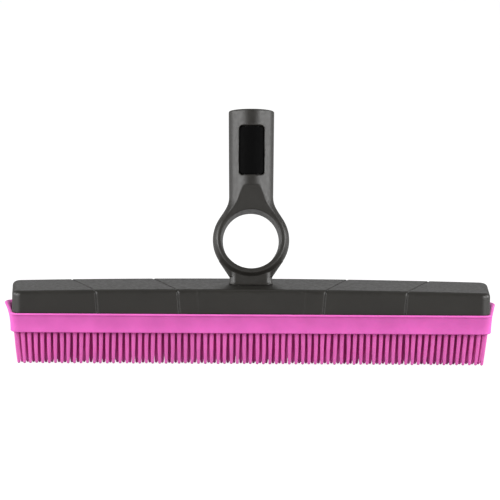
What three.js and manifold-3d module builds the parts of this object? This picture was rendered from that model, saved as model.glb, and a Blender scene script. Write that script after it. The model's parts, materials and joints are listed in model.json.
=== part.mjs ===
// Rubber carpet broom head: a leaning neck with a hanging ring, a pole socket and its rocker
// latch, on a long cover whose underside carries a rubber sleeve with bristles and a flared lip.
// Millimetres, +Z up, +X along the head, -Y the front. Z = 0 is the plane of the bristle tips,
// and the origin lies under the middle of the whole object's box.
import * as THREE from "three";
import { mergeVertices } from "three/addons/utils/BufferGeometryUtils.js";
import Module from "manifold-3d";

const wasm = await Module();
wasm.setup();

// ---- Driving dimensions ------------------------------------------------------------------

const GAP = 0.3; // between pieces that touch
const PAST = 2; // how far a cutter runs past the face that it opens
const SINK = 1e-3; // of a hollow's face past a face that it would otherwise share

// Faceting.
const MERGE_DISTANCE = 1e-4;
const CORNER_STEPS = 6; // along each curve of a drawn outline
const FLARE_STEPS = 5; // up the rubber sleeve
const CROWN_STEPS = 12; // along the head cover
const RING_FACE_STEPS = 8; // across the ring's rounded outer face
const RING_SIDES = 72;
const SOCKET_SIDES = 56;
const LATCH_SIDES = 72; // of what is round about the socket's axis in its window
const BOSS_SIDES = 24;
const ROD_SIDES = 20;
const TRUNNION_SIDES = 16;

// Bristles: rows of rubber fingers, each row drawn as one strip of the fingers' mean thickness.
const BRISTLE_LENGTH = 21.4;
const BRISTLE_ROWS = 9;
const BRISTLE_ROW_PITCH = 3.7;
const BRISTLE_ROW_THICKNESS = 1.1;
const BRISTLE_END_MARGIN = 5; // from the last finger to the end of the sleeve's base
const BRISTLE_SIDE_MARGIN = 2; // the same at the front and back

// Rubber sleeve: a tray that flares from its base to its rim, more at the back than in front.
const SLEEVE_END_REACH = 1; // of its base past the cover's ends
const SLEEVE_TUCK = 3; // of its base inside the cover's front and back
const SLEEVE_HEIGHT = 13.8;
const SLEEVE_FLOOR = 2.4;
const SLEEVE_CORNER = 8;
const SLEEVE_FLARE_POWER = 1.5;
const RIM_FRONT_OVERHANG = 1.4; // of the rim past the cover's seat, at the front
const RIM_FRONT_WALL = 2.1;
const RIM_BACK_OVERHANG = 5.8; // of the rim past the cover's seat, at the back corners
const RIM_BACK_WALL = 6.2; // the squeegee lip behind the cover
const HOOK_LIP = 1.5; // thickness of the lip that hooks over the core plate
const HOOK_REACH = 3.2;

// Core plate: the stiff insert that the sleeve is stretched over.
const CORE_WALL = 3.7; // rubber in front of and behind the core's lower block
const CORE_END_WALL = 6.7; // rubber at its ends
const CORE_BLOCK_HEIGHT = 5.7;
const CORE_FLANGE_HEIGHT = 2;
const CORE_FLANGE_REACH = 2.8;
const CORE_CORNER = 5;
const CORE_RIM = 3;
const CORE_RIB = 7;
const CORE_WEB = 2.2;

// Head cover: a crowned shell with shallow styling grooves.
const COVER_LENGTH = 315;
const COVER_DEPTH = 46;
const COVER_END_HEIGHT = 15.6;
const COVER_CROWN = 1.9;
const COVER_CORNER = 6.2;
const COVER_EDGE = 3;
const COVER_TRIM_RUN = 39.375; // over which the end trim climbs clear of the crown
const COVER_WALL = 2.4;
const COVER_INNER_ROUND = 1; // the least that its inside edges and corners are rounded
const COVER_RIB_THICKNESS = 1.6;
const COVER_RIB_DROP = 6;
const COVER_RIB_STATIONS = [30, 64, 98];
const GROOVE_WIDTH = 0.9;
const GROOVE_DEPTH = 0.5;
const GROOVES = [
  { back: 119, front: 102.5 },
  { back: 65, front: 48.5 },
];

// Neck: root block, hanging ring and pole socket in one moulding, leaning back.
const NECK_LEAN = THREE.MathUtils.degToRad(16);
const ROOT_WIDTH = 28;
const ROOT_DEPTH = 10.6;
const ROOT_CORNER = 4.5;
const ROOT_WEB_THICKNESS = 9;
const ROOT_TOP = 4.5; // of its straight sides, up the neck from the cover
const RING_CENTRE = 29; // up the neck from the cover
const RING_OUTER = 25.3;
const RING_HOLE_FRONT = 19.6;
const RING_HOLE_BACK = 18.4;
const RING_THICKNESS = 17.6;
const RING_EDGE_CURVE = 14.7; // radius of the ring's rounded outer face
const SHOULDER_FILLET = 9;
const SHOULDER_THICKNESS = 12;
const SOCKET_TOP = 114.8; // up the neck from the cover
const SOCKET_WALL_LOW = 4.4; // round the bore, at the ring
const SOCKET_WALL_TOP = 4.9; // round the bore, at the rim
const SOCKET_RIM_ROUND = 1;
const POLE_RADIUS = 10;
const POLE_CLEARANCE = 0.2;
const BORE_DEPTH = 58;
const FACET_START = 17; // above the ring's centre
const FACET_RISE = 18.2;
const FACET_WALL = 3.6; // between the bore and the flat where it ends

// Rocker latch in the socket's window.
const WINDOW_WIDTH = 16.8;
const WINDOW_LENGTH = 33;
const WINDOW_CORNER = 2;
const WINDOW_TO_RIM = 10.8;
const POCKET_FLOOR = 1; // socket wall left between the pole and the latch
const BUTTON_SIDE_GAP = 0.35;
const BUTTON_END_GAP = 0.6;
const BUTTON_RECESS = 1; // below the socket's rim radius
const BUTTON_THICKNESS = 1.2;
const PIVOT_FROM_TOP = 12; // of the pivot below the window's top
const PIVOT_SINK = 1.1; // of the pivot inside the pocket's floor
const TRUNNION_RADIUS = 0.8;
const TRUNNION_CLEARANCE = 0.15;
const TRUNNION_REACH = 0.9; // into the window's side walls
const EAR_THICKNESS = 0.75;
const EAR_LENGTH = 2.4;
const EAR_BELOW_PIVOT = 1;
const NUB_WIDTH = 6;
const NUB_LENGTH = 4.4;
const NUB_RAMP = 2.6;
const NUB_FROM_BOTTOM = 1;
const NUB_INTO_BORE = 1.3;
const NUB_CLEARANCE = 0.5;
const STOP_LENGTH = 2;
const SPRING_WIDTH = 4;
const SPRING_THICKNESS = 0.25;
const SPRING_LENGTH = 8;
const SPRING_ARCH = 0.75;
const SPRING_LIFT = 0.25; // of its ends off the pocket's floor

// Screws.
const SCREW_SHANK = 1.7;
const SCREW_HEAD = 3.4;
const SCREW_HEAD_HEIGHT = 2.2;
const SCREW_HEAD_CHAMFER = 0.8;
const SCREW_CLEARANCE = 0.2;
const SCREW_SLOT = 0.7;
const SCREW_SLOT_DEPTH = 1;
const SCREW_SLOT_REACH = 2.04; // of each arm from the middle
const PLATE_SCREW_BITE = 12;
const PLATE_SCREW_BOSS = 4;
const PLATE_SCREW_END_INSET = 19.8; // from the core plate's end
const PLATE_SCREW_SIDE_INSET = 6.3; // from the core plate's front and back
const PLATE_SCREW_MIDDLE = 48; // of the middle pair from the middle
const NECK_SCREW_SPACING = 18;
const NECK_SCREW_BITE = 9;
const NECK_PAD = { length: 34, depth: 20, height: 4 };

// ---- Heights and places worked out from them ---------------------------------------------

const SLEEVE_BOTTOM = BRISTLE_LENGTH;
const RIM_TOP = SLEEVE_BOTTOM + SLEEVE_HEIGHT;
const CORE_BOTTOM = SLEEVE_BOTTOM + SLEEVE_FLOOR + GAP;
const FLANGE_BOTTOM = CORE_BOTTOM + CORE_BLOCK_HEIGHT;
const CORE_TOP = FLANGE_BOTTOM + CORE_FLANGE_HEIGHT;
const HOOK_BOTTOM = CORE_TOP + GAP;
const SEAT = HOOK_BOTTOM + HOOK_LIP;
const COVER_BOTTOM = SEAT + GAP;
const COVER_TOP = COVER_BOTTOM + COVER_END_HEIGHT + COVER_CROWN;
const COVER_ROOF = COVER_TOP - COVER_WALL; // underside of the roof in the middle
const SLEEVE_BASE_LENGTH = COVER_LENGTH + 2 * SLEEVE_END_REACH;
const SLEEVE_BASE_DEPTH = COVER_DEPTH - 2 * SLEEVE_TUCK;
const CORE_LENGTH = SLEEVE_BASE_LENGTH - 2 * CORE_END_WALL;
const CORE_DEPTH = SLEEVE_BASE_DEPTH - 2 * CORE_WALL;
const FLANGE_LENGTH = CORE_LENGTH + 2 * CORE_FLANGE_REACH;
const FLANGE_DEPTH = CORE_DEPTH + 2 * CORE_FLANGE_REACH;
const PLATE_SCREW_X = CORE_LENGTH / 2 - PLATE_SCREW_END_INSET;
const PLATE_SCREW_Y = CORE_DEPTH / 2 - PLATE_SCREW_SIDE_INSET;
const PLATE_SCREW_PLACES = [
  { x: -PLATE_SCREW_X, y: -PLATE_SCREW_Y },
  { x: -PLATE_SCREW_X, y: PLATE_SCREW_Y },
  { x: -PLATE_SCREW_MIDDLE, y: 0 },
  { x: PLATE_SCREW_MIDDLE, y: 0 },
  { x: PLATE_SCREW_X, y: -PLATE_SCREW_Y },
  { x: PLATE_SCREW_X, y: PLATE_SCREW_Y },
];
const BORE_RADIUS = POLE_RADIUS + POLE_CLEARANCE;
const SOCKET_RADIUS_LOW = BORE_RADIUS + SOCKET_WALL_LOW;
const SOCKET_RADIUS_TOP = BORE_RADIUS + SOCKET_WALL_TOP;
const FACET_TOP_OFFSET = BORE_RADIUS + FACET_WALL;
const WINDOW_TOP = SOCKET_TOP - WINDOW_TO_RIM;
const WINDOW_BOTTOM = WINDOW_TOP - WINDOW_LENGTH;
const POCKET_RADIUS = BORE_RADIUS + POCKET_FLOOR;
const BUTTON_OUTER = SOCKET_RADIUS_TOP - BUTTON_RECESS;
const BUTTON_INNER = BUTTON_OUTER - BUTTON_THICKNESS;
const PIVOT_INSET = POCKET_RADIUS - PIVOT_SINK; // of the pivot from the socket's axis
const PIVOT_HEIGHT = WINDOW_TOP - PIVOT_FROM_TOP;

// ---- Solids ------------------------------------------------------------------------------

function toSolid(geometry) {
  const bare = geometry.clone();
  bare.deleteAttribute("normal");
  bare.deleteAttribute("uv");
  const merged = mergeVertices(bare, MERGE_DISTANCE);
  return new wasm.Manifold(
    new wasm.Mesh({
      numProp: 3,
      vertProperties: merged.attributes.position.array,
      triVerts: new Uint32Array(merged.index.array),
    }),
  );
}

function toGeometry(solid) {
  const mesh = solid.getMesh();
  const geometry = new THREE.BufferGeometry();
  geometry.setAttribute("position", new THREE.BufferAttribute(mesh.vertProperties, 3));
  geometry.setIndex(new THREE.BufferAttribute(mesh.triVerts, 1));
  geometry.computeVertexNormals();
  return geometry;
}

function join(first, ...others) {
  return others.reduce((sum, next) => sum.add(next), first);
}

function cut(first, ...others) {
  return others.reduce((rest, next) => rest.subtract(next), first);
}

function roundedRectangle(width, height, radius) {
  const x = width / 2;
  const y = height / 2;
  const shape = new THREE.Shape();
  shape.moveTo(x - radius, -y);
  shape.absarc(x - radius, -y + radius, radius, -Math.PI / 2, 0);
  shape.absarc(x - radius, y - radius, radius, 0, Math.PI / 2);
  shape.absarc(-x + radius, y - radius, radius, Math.PI / 2, Math.PI);
  shape.absarc(-x + radius, -y + radius, radius, Math.PI, 1.5 * Math.PI);
  return shape;
}

// A shape drawn in the XY plane, extruded up from one height to another.
function upright(shape, bottom, top, steps = 1) {
  const options = { depth: top - bottom, steps, bevelEnabled: false, curveSegments: CORNER_STEPS };
  return new THREE.ExtrudeGeometry(shape, options).translate(0, 0, bottom);
}

// A shape drawn as seen from the front (X across, Z up), extruded through the depth.
function frontal(shape, front, back) {
  const options = { depth: back - front, bevelEnabled: false, curveSegments: CORNER_STEPS };
  return new THREE.ExtrudeGeometry(shape, options).rotateX(Math.PI / 2).translate(0, back, 0);
}

// A shape drawn as seen from the side (Y across, Z up), extruded along X about the middle.
function sideways(shape, length, steps = 1) {
  const options = { depth: length, steps, bevelEnabled: false, curveSegments: CORNER_STEPS };
  const geometry = new THREE.ExtrudeGeometry(shape, options).translate(0, 0, -length / 2);
  return geometry.rotateY(Math.PI / 2).rotateX(Math.PI / 2);
}

function slab(length, depth, radius, bottom, top) {
  return toSolid(upright(roundedRectangle(length, depth, radius), bottom, top));
}

function block(low, high) {
  const size = high.map((value, i) => value - low[i]);
  const centre = high.map((value, i) => (value + low[i]) / 2);
  return toSolid(new THREE.BoxGeometry(...size).translate(...centre));
}

function rod(radius, bottom, top, x = 0, y = 0, sides = ROD_SIDES) {
  const geometry = new THREE.CylinderGeometry(radius, radius, top - bottom, sides);
  return toSolid(geometry.rotateX(Math.PI / 2).translate(x, y, (top + bottom) / 2));
}

// A solid of revolution about Z, from points [radius, height].
function turned(points, sides) {
  const profile = points.map(([radius, height]) => new THREE.Vector2(radius, height));
  return toSolid(new THREE.LatheGeometry(profile, sides).rotateX(Math.PI / 2));
}

// ---- Rubber sleeve -----------------------------------------------------------------------

const RIM = {
  front: -COVER_DEPTH / 2 - GAP - RIM_FRONT_WALL,
  back: COVER_DEPTH / 2 + GAP + RIM_BACK_WALL,
  frontLength: COVER_LENGTH + 2 * (GAP + RIM_FRONT_OVERHANG),
  backLength: COVER_LENGTH + 2 * (GAP + RIM_BACK_OVERHANG),
};

function flaredBody() {
  const depth = RIM.back - RIM.front;
  const outline = roundedRectangle(SLEEVE_BASE_LENGTH, depth, SLEEVE_CORNER);
  const geometry = upright(outline, 0, SLEEVE_HEIGHT, FLARE_STEPS);
  const place = geometry.attributes.position;
  const mix = THREE.MathUtils.lerp;
  for (let i = 0; i < place.count; i++) {
    const backness = place.getY(i) / depth + 0.5;
    const flare = Math.pow(place.getZ(i) / SLEEVE_HEIGHT, SLEEVE_FLARE_POWER);
    const rimLength = mix(RIM.frontLength, RIM.backLength, backness);
    const stretch = mix(1, rimLength / SLEEVE_BASE_LENGTH, flare);
    const baseY = (backness - 0.5) * SLEEVE_BASE_DEPTH;
    place.setX(i, place.getX(i) * stretch);
    place.setY(i, mix(baseY, mix(RIM.front, RIM.back, backness), flare));
  }
  return toSolid(geometry.translate(0, 0, SLEEVE_BOTTOM));
}

function sleevePockets() {
  const lower = slab(CORE_LENGTH + 2 * GAP, CORE_DEPTH + 2 * GAP, CORE_CORNER,
    CORE_BOTTOM - GAP, HOOK_BOTTOM);
  const flange = slab(FLANGE_LENGTH + 2 * GAP, FLANGE_DEPTH + 2 * GAP, CORE_CORNER,
    FLANGE_BOTTOM - GAP, HOOK_BOTTOM);
  const mouth = slab(FLANGE_LENGTH - 2 * HOOK_REACH, FLANGE_DEPTH - 2 * HOOK_REACH, CORE_CORNER,
    HOOK_BOTTOM - PAST, RIM_TOP);
  const seat = slab(COVER_LENGTH + 2 * GAP, COVER_DEPTH + 2 * GAP, COVER_CORNER + GAP,
    SEAT, RIM_TOP + PAST);
  return [lower, flange, mouth, seat];
}

function bristleRows() {
  const length = SLEEVE_BASE_LENGTH - 2 * BRISTLE_END_MARGIN;
  const depth = SLEEVE_BASE_DEPTH - 2 * BRISTLE_SIDE_MARGIN;
  const corner = SLEEVE_CORNER - BRISTLE_SIDE_MARGIN;
  const field = slab(length, depth, corner, 0, SLEEVE_BOTTOM + GAP);
  const first = (-(BRISTLE_ROWS - 1) * BRISTLE_ROW_PITCH) / 2;
  const half = BRISTLE_ROW_THICKNESS / 2;
  const rows = [];
  for (let row = 0; row < BRISTLE_ROWS; row++) {
    const y = first + row * BRISTLE_ROW_PITCH;
    const strip = block([-length / 2, y - half, -PAST], [length / 2, y + half, SLEEVE_BOTTOM + PAST]);
    rows.push(field.intersect(strip));
  }
  return rows;
}

function rubberBrush() {
  return join(cut(flaredBody(), ...sleevePockets()), ...bristleRows());
}

// ---- Core plate --------------------------------------------------------------------------

function corePlate() {
  const body = join(
    slab(CORE_LENGTH, CORE_DEPTH, CORE_CORNER, CORE_BOTTOM, CORE_TOP),
    slab(FLANGE_LENGTH, FLANGE_DEPTH, CORE_CORNER, FLANGE_BOTTOM, CORE_TOP),
  );
  return cut(body, ...coreBays(), ...PLATE_SCREW_PLACES.map(coreScrewHole));
}

// The bays between the core plate's ribs, which stand at the screws and in the middle.
function coreBays() {
  const stations = [...new Set(PLATE_SCREW_PLACES.map((place) => place.x))];
  const walls = [...stations, 0].sort((a, b) => a - b);
  const half = SCREW_HEAD + CORE_RIB / 2;
  const starts = [-CORE_LENGTH / 2 + CORE_RIM, ...walls.map((x) => x + half)];
  const ends = [...walls.map((x) => x - half), CORE_LENGTH / 2 - CORE_RIM];
  const depth = CORE_DEPTH / 2 - CORE_RIM;
  return starts.map((start, i) =>
    block([start, -depth, CORE_BOTTOM + CORE_WEB], [ends[i], depth, CORE_TOP + PAST]),
  );
}

function coreScrewHole({ x, y }) {
  return join(
    rod(SCREW_SHANK + SCREW_CLEARANCE, CORE_BOTTOM - PAST, CORE_TOP + PAST, x, y),
    rod(SCREW_HEAD + GAP, CORE_BOTTOM - PAST, CORE_BOTTOM + SCREW_HEAD_HEIGHT + 2 * GAP, x, y),
  );
}

// ---- Head cover --------------------------------------------------------------------------

// The crown's rise at x, from nothing at the ends to the full crown in the middle.
function crownAt(x) {
  return COVER_CROWN * (1 - Math.pow((2 * x) / COVER_LENGTH, 2));
}

// The height of the middle of the roof's thickness at x.
function insideRoof(x) {
  return COVER_BOTTOM + COVER_END_HEIGHT + crownAt(x) - COVER_WALL / 2;
}

// A section with rounded top edges, swept along the head and raised towards its middle.
function crownedSection(depth, height, edge, length) {
  const shape = new THREE.Shape();
  shape.moveTo(-depth / 2, 0);
  shape.lineTo(depth / 2, 0);
  shape.absarc(depth / 2 - edge, height - edge, edge, 0, Math.PI / 2);
  shape.absarc(-depth / 2 + edge, height - edge, edge, Math.PI / 2, Math.PI);
  const geometry = sideways(shape, length, CROWN_STEPS);
  const place = geometry.attributes.position;
  for (let i = 0; i < place.count; i++) {
    const z = place.getZ(i);
    place.setZ(i, z * (1 + crownAt(place.getX(i)) / height));
  }
  return toSolid(geometry.translate(0, 0, COVER_BOTTOM));
}

// Trims the ends to the same rounded top edge as the front and back.
function endTrim(inset, edge) {
  const x = COVER_LENGTH / 2 - inset;
  const z = COVER_BOTTOM + COVER_END_HEIGHT - inset;
  const shape = new THREE.Shape();
  shape.moveTo(-x, COVER_BOTTOM - PAST);
  shape.lineTo(x, COVER_BOTTOM - PAST);
  shape.absarc(x - edge, z - edge, edge, 0, Math.PI / 2);
  shape.lineTo(x - COVER_TRIM_RUN, COVER_TOP + PAST);
  shape.lineTo(-x + COVER_TRIM_RUN, COVER_TOP + PAST);
  shape.absarc(-x + edge, z - edge, edge, Math.PI / 2, Math.PI);
  return toSolid(frontal(shape, -COVER_DEPTH, COVER_DEPTH));
}

function coverForm(inset) {
  const edge = Math.max(COVER_EDGE - inset, COVER_INNER_ROUND);
  const corner = Math.max(COVER_CORNER - inset, COVER_INNER_ROUND);
  const depth = COVER_DEPTH - 2 * inset;
  const swept = crownedSection(depth, COVER_END_HEIGHT - inset, edge, COVER_LENGTH);
  const plan = slab(COVER_LENGTH - 2 * inset, depth, corner, COVER_BOTTOM - PAST, COVER_TOP + PAST);
  return swept.intersect(plan).intersect(endTrim(inset, edge));
}

function coverGroove({ back, front }, side) {
  const run = Math.hypot(back - front, COVER_DEPTH) + 2 * PAST;
  const middle = (back + front) / 2;
  const floor = COVER_BOTTOM + COVER_END_HEIGHT + crownAt(middle) - GROOVE_DEPTH;
  const top = new THREE.BoxGeometry(GROOVE_WIDTH, run, 2 * PAST)
    .rotateZ(-side * Math.atan2(back - front, COVER_DEPTH))
    .translate(side * middle, 0, floor + PAST);
  const face = block(
    [side * front - GROOVE_WIDTH / 2, -COVER_DEPTH / 2 - PAST, COVER_BOTTOM - PAST],
    [side * front + GROOVE_WIDTH / 2, -COVER_DEPTH / 2 + GROOVE_DEPTH, COVER_TOP],
  );
  return join(toSolid(top), face);
}

function coverRibs() {
  const depth = COVER_DEPTH / 2 - COVER_WALL / 2;
  const half = COVER_RIB_THICKNESS / 2;
  const bottom = COVER_ROOF - COVER_RIB_DROP;
  const places = COVER_RIB_STATIONS.flatMap((x) => [-x, x]);
  return places.map((x) => block([x - half, -depth, bottom], [x + half, depth, insideRoof(x)]));
}

function coverBoss({ x, y }) {
  return rod(PLATE_SCREW_BOSS, CORE_TOP + GAP, insideRoof(x), x, y, BOSS_SIDES);
}

function bossHole({ x, y }) {
  const end = plateScrewSeat() + PLATE_SCREW_BITE + CORE_TOP - CORE_BOTTOM;
  return rod(SCREW_SHANK + SCREW_CLEARANCE, CORE_BOTTOM, end, x, y);
}

function neckScrewHoles(radius, bottom, top) {
  return [-1, 1].map((side) => rod(radius, bottom, top, (side * NECK_SCREW_SPACING) / 2, 0));
}

function headCover() {
  const shell = cut(coverForm(0), coverForm(COVER_WALL).translate([0, 0, -SINK]));
  const open = slab(COVER_LENGTH - 2 * COVER_WALL, COVER_DEPTH - 2 * COVER_WALL,
    COVER_CORNER - COVER_WALL, COVER_BOTTOM - PAST, COVER_BOTTOM + PAST);
  const pad = slab(NECK_PAD.length, NECK_PAD.depth, ROOT_CORNER,
    COVER_ROOF - NECK_PAD.height, COVER_ROOF + COVER_WALL / 2);
  const inside = [...coverRibs(), ...PLATE_SCREW_PLACES.map(coverBoss), pad];
  const grooves = GROOVES.flatMap((groove) => [coverGroove(groove, -1), coverGroove(groove, 1)]);
  const holes = neckScrewHoles(SCREW_SHANK + SCREW_CLEARANCE, COVER_ROOF - NECK_PAD.height - PAST,
    COVER_TOP + PAST);
  return cut(join(cut(shell, open), ...inside), ...PLATE_SCREW_PLACES.map(bossHole), ...grooves,
    ...holes);
}

// ---- Neck, drawn upright from the cover at its own Z = 0 ---------------------------------

// The ring's rounded outer face: an arc whose widest point is the ring's outer radius.
function ringSolid() {
  const half = RING_THICKNESS / 2;
  const centre = RING_OUTER - RING_EDGE_CURVE;
  const reach = Math.asin(half / RING_EDGE_CURVE);
  const points = [];
  for (let i = 0; i <= RING_FACE_STEPS; i++) {
    const angle = reach * ((2 * i) / RING_FACE_STEPS - 1);
    points.push([centre + RING_EDGE_CURVE * Math.cos(angle), RING_EDGE_CURVE * Math.sin(angle)]);
  }
  points.unshift([0, -half]);
  points.push([0, half]);
  const profile = points.map(([radius, height]) => new THREE.Vector2(radius, height));
  return toSolid(new THREE.LatheGeometry(profile, RING_SIDES).translate(0, 0, RING_CENTRE));
}

function ringHole() {
  const run = RING_THICKNESS / 2 + PAST;
  const spread = ((RING_HOLE_FRONT - RING_HOLE_BACK) * run) / RING_THICKNESS;
  const middle = (RING_HOLE_FRONT + RING_HOLE_BACK) / 2;
  const profile = [
    new THREE.Vector2(0, -run),
    new THREE.Vector2(middle + spread, -run),
    new THREE.Vector2(middle - spread, run),
    new THREE.Vector2(0, run),
  ];
  return toSolid(new THREE.LatheGeometry(profile, RING_SIDES).translate(0, 0, RING_CENTRE));
}

// Fills the corners between the ring and the socket's sides with round fillets.
function shoulders() {
  const fillet = SHOULDER_FILLET;
  const centreX = SOCKET_RADIUS_LOW + fillet;
  const centreZ = Math.sqrt((RING_OUTER + fillet) ** 2 - centreX ** 2);
  const share = RING_OUTER / (RING_OUTER + fillet);
  const start = Math.atan2(-centreZ, -centreX);
  const shape = new THREE.Shape();
  shape.moveTo(0, centreZ * share);
  shape.lineTo(centreX * share, centreZ * share);
  shape.absarc(centreX, centreZ, fillet, start, -Math.PI, true);
  shape.lineTo(0, centreZ);
  const half = toSolid(frontal(shape, -SHOULDER_THICKNESS / 2, SHOULDER_THICKNESS / 2));
  return join(half, half.mirror([1, 0, 0])).translate([0, 0, RING_CENTRE]);
}

// Carries the ring's sides down to the root's in straight lines that leave the ring smoothly.
function rootWeb() {
  const x = ROOT_WIDTH / 2;
  const drop = RING_CENTRE - ROOT_TOP;
  const turn = Math.atan2(x, drop) + Math.acos(RING_OUTER / Math.hypot(x, drop));
  const leave = { x: RING_OUTER * Math.sin(turn), z: RING_CENTRE - RING_OUTER * Math.cos(turn) };
  const shape = new THREE.Shape();
  shape.moveTo(-x, ROOT_TOP);
  shape.lineTo(x, ROOT_TOP);
  shape.lineTo(leave.x, leave.z);
  shape.lineTo(-leave.x, leave.z);
  return toSolid(frontal(shape, -ROOT_WEB_THICKNESS / 2, ROOT_WEB_THICKNESS / 2));
}

function socketSolid() {
  const round = SOCKET_RIM_ROUND;
  const bevel = round * (1 - Math.SQRT1_2);
  return turned(
    [
      [0, RING_CENTRE],
      [SOCKET_RADIUS_LOW, RING_CENTRE],
      [SOCKET_RADIUS_LOW, RING_CENTRE + RING_OUTER],
      [SOCKET_RADIUS_TOP, SOCKET_TOP - round],
      [SOCKET_RADIUS_TOP - bevel, SOCKET_TOP - bevel],
      [SOCKET_RADIUS_TOP - round, SOCKET_TOP],
      [BORE_RADIUS + round / 2, SOCKET_TOP],
      [BORE_RADIUS, SOCKET_TOP - round / 2],
      [BORE_RADIUS, SOCKET_TOP - BORE_DEPTH],
      [0, SOCKET_TOP - BORE_DEPTH],
    ],
    SOCKET_SIDES,
  );
}

// What the flat faces cut away in front of (side -1) or behind (side 1) the ring and the socket.
function facetCutter(side) {
  const flat = RING_THICKNESS / 2;
  const far = SOCKET_RADIUS_TOP + PAST;
  const ramp = RING_CENTRE + FACET_START;
  const shape = new THREE.Shape();
  shape.moveTo(side * flat, -RING_OUTER);
  shape.lineTo(side * flat, ramp);
  shape.lineTo(side * FACET_TOP_OFFSET, ramp + FACET_RISE);
  shape.lineTo(side * far, ramp + FACET_RISE);
  shape.lineTo(side * far, -RING_OUTER);
  return toSolid(sideways(shape, 3 * RING_OUTER));
}

function windowOutline(sideGap, endGap) {
  const width = WINDOW_WIDTH - 2 * sideGap;
  const length = WINDOW_LENGTH - 2 * endGap;
  const outline = roundedRectangle(width, length, WINDOW_CORNER);
  const geometry = frontal(outline, -SOCKET_RADIUS_TOP - PAST, -PIVOT_INSET / 2);
  return toSolid(geometry.translate(0, 0, (WINDOW_TOP + WINDOW_BOTTOM) / 2));
}

function axisTube(outer, inner, bottom, top) {
  return cut(
    rod(outer, bottom, top, 0, 0, LATCH_SIDES),
    rod(inner, bottom - PAST, top + PAST, 0, 0, LATCH_SIDES),
  );
}

const NUB_BOTTOM = WINDOW_BOTTOM + BUTTON_END_GAP + NUB_FROM_BOTTOM;

function nubSlot() {
  const half = NUB_WIDTH / 2 + NUB_CLEARANCE;
  return block(
    [-half, -POCKET_RADIUS - PAST, NUB_BOTTOM - NUB_CLEARANCE],
    [half, -BORE_RADIUS / 2, NUB_BOTTOM + NUB_LENGTH + NUB_CLEARANCE],
  );
}

function trunnionRod(radius, reach) {
  const half = WINDOW_WIDTH / 2 + reach;
  const geometry = new THREE.CylinderGeometry(radius, radius, 2 * half, TRUNNION_SIDES).rotateZ(Math.PI / 2);
  return toSolid(geometry.translate(0, -PIVOT_INSET, PIVOT_HEIGHT));
}

// The window, the pocket behind it and what opens through the pocket's floor.
function latchPocket() {
  const core = rod(POCKET_RADIUS, WINDOW_BOTTOM - PAST, WINDOW_TOP + PAST, 0, 0, LATCH_SIDES);
  const holes = cut(
    trunnionRod(TRUNNION_RADIUS + TRUNNION_CLEARANCE, TRUNNION_REACH + GAP),
    core,
  );
  return join(cut(windowOutline(0, 0), core), nubSlot(), holes);
}

// Everything below the cover's top, seen from the leaning neck's own frame.
function belowCover() {
  const size = 4 * ROOT_WIDTH;
  const geometry = new THREE.BoxGeometry(size, size, size).translate(0, 0, GAP - size / 2);
  return toSolid(geometry.rotateX(NECK_LEAN));
}

function neckSolid() {
  const root = slab(ROOT_WIDTH, ROOT_DEPTH, ROOT_CORNER, -ROOT_DEPTH / 2, RING_CENTRE - RING_OUTER / 2);
  const body = join(
    ringSolid(),
    socketSolid(),
    root,
    shoulders(),
    rootWeb(),
  );
  const pilots = neckScrewHoles(SCREW_SHANK + SCREW_CLEARANCE, -PAST, NECK_SCREW_BITE + 2 * GAP);
  const turnedPilots = pilots.map((hole) => hole.rotate([THREE.MathUtils.radToDeg(NECK_LEAN), 0, 0]));
  return cut(body, ringHole(), facetCutter(-1), facetCutter(1), latchPocket(), belowCover(),
    ...turnedPilots);
}

// ---- Release button and its spring, in the neck's frame ----------------------------------

function buttonNub() {
  const top = NUB_BOTTOM + NUB_LENGTH;
  const tip = -BORE_RADIUS + NUB_INTO_BORE;
  const root = -BUTTON_INNER - BUTTON_THICKNESS / 2;
  const shape = new THREE.Shape();
  shape.moveTo(root, NUB_BOTTOM);
  shape.lineTo(tip, NUB_BOTTOM);
  shape.lineTo(tip, top - NUB_RAMP);
  shape.lineTo(tip - NUB_RAMP, top);
  shape.lineTo(root, top);
  return toSolid(sideways(shape, NUB_WIDTH));
}

function buttonStop() {
  const bottom = NUB_BOTTOM + NUB_LENGTH + NUB_CLEARANCE + GAP;
  return block(
    [-NUB_WIDTH / 2, -BUTTON_INNER - BUTTON_THICKNESS / 2, bottom],
    [NUB_WIDTH / 2, -POCKET_RADIUS - GAP, bottom + STOP_LENGTH],
  );
}

function buttonEar(side) {
  const outer = WINDOW_WIDTH / 2 - BUTTON_SIDE_GAP;
  const xs = [side * outer, side * (outer - EAR_THICKNESS)].sort((a, b) => a - b);
  const plateAtEdge = Math.sqrt(BUTTON_INNER ** 2 - outer ** 2) + BUTTON_THICKNESS / 2;
  return block(
    [xs[0], -plateAtEdge - BUTTON_THICKNESS / 2, PIVOT_HEIGHT - EAR_LENGTH / 2],
    [xs[1], -PIVOT_INSET + EAR_BELOW_PIVOT, PIVOT_HEIGHT + EAR_LENGTH / 2],
  );
}

function buttonSolid() {
  const shell = axisTube(BUTTON_OUTER, BUTTON_INNER, WINDOW_BOTTOM - PAST, WINDOW_TOP + PAST);
  const plate = windowOutline(BUTTON_SIDE_GAP, BUTTON_END_GAP).intersect(shell);
  const middle = WINDOW_WIDTH / 2 - BUTTON_SIDE_GAP - EAR_THICKNESS / 2;
  const keepOut = block([-middle, -WINDOW_WIDTH, 0], [middle, 0, SOCKET_TOP]);
  const trunnions = cut(trunnionRod(TRUNNION_RADIUS, TRUNNION_REACH), keepOut);
  return join(plate, buttonNub(), buttonStop(), buttonEar(-1), buttonEar(1), trunnions);
}

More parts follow.
